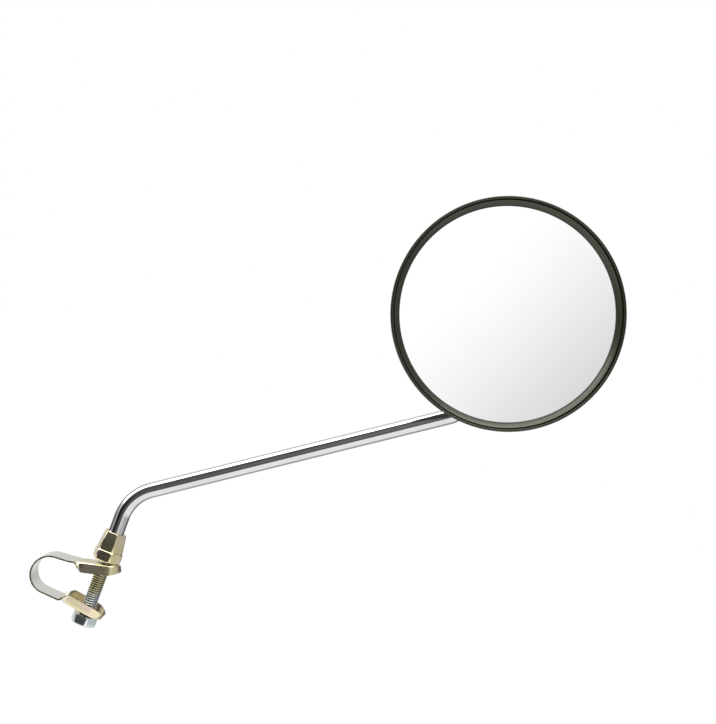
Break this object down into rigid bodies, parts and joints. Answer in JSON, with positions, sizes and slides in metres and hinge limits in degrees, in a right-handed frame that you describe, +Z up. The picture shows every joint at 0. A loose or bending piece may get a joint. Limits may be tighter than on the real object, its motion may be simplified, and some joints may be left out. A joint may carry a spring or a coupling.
{
  "type": "motorcycle mirror",
  "caption": "Round motorcycle mirror on a bent chromed rod, with a ball joint behind the head and a spring-steel handlebar clamp drawn up by a bolt.",
  "frame": {"origin": "centre of the handlebar loop, in the middle of the strap's width", "axes": "+Z up along the clamp bolt, +Y along the handlebar away from the mirror's face, +X from the handlebar towards the bolt and the rod"},
  "size_m": [0.2625, 0.0448, 0.3088],
  "materials": {
    "yellow_zinc": "yellow zinc plate with a pink and green sheen",
    "bright_zinc": "clear zinc plate",
    "chrome_plate": "polished chrome",
    "turned_steel": "fine turned, greased",
    "cup_plastic": "satin nylon",
    "black_plastic": "fine moulded grain",
    "rim_plastic": "satin",
    "foam": "closed-cell foam",
    "mirror_glass": "silvered behind, clear in front"
  },
  "bodies": {
    "clamp": {"clamp_strap": "yellow_zinc"},
    "bolt": {"clamp_bolt": "bright_zinc"},
    "stem": {"stem_rod": "chrome_plate", "cone_nut": "yellow_zinc", "swivel_ball": "turned_steel"},
    "rear_cup": {"socket_cup_rear": "cup_plastic"},
    "front_cup": {"socket_cup_front": "cup_plastic"},
    "head": {"back_shell": "black_plastic", "socket_cap": "black_plastic", "cap_screw_left": "bright_zinc", "cap_screw_right": "bright_zinc", "lock_washer_left": "bright_zinc", "lock_washer_right": "bright_zinc", "cap_nut_left": "bright_zinc", "cap_nut_right": "bright_zinc", "glass_pad": "foam", "mirror_glass": "mirror_glass", "rim_ring": "rim_plastic"}
  },
  "joints": [
    {"name": "bolt_turn", "type": "hinge", "parent": "clamp", "child": "bolt", "pos_m": [0.0259, 0, 0], "axis": [0, 0, 1], "continuous": true},
    {"name": "stem_swivel", "type": "hinge", "parent": "clamp", "child": "stem", "pos_m": [0.0259, 0, 0.03], "axis": [0, 0, 1], "continuous": true},
    {"name": "head_turn", "type": "hinge", "parent": "stem", "child": "rear_cup", "pos_m": [0.18784, 0, 0.22396], "axis": [0, 0, 1], "range_deg": [-30, 90]},
    {"name": "head_tilt", "type": "hinge", "parent": "rear_cup", "child": "front_cup", "pos_m": [0.18784, 0, 0.22396], "axis": [1, 0, 0], "range_deg": [-12, 8]},
    {"name": "head_roll", "type": "hinge", "parent": "front_cup", "child": "head", "pos_m": [0.18784, 0, 0.22396], "axis": [0, 1, 0], "range_deg": [-15, 15]}
  ]
}
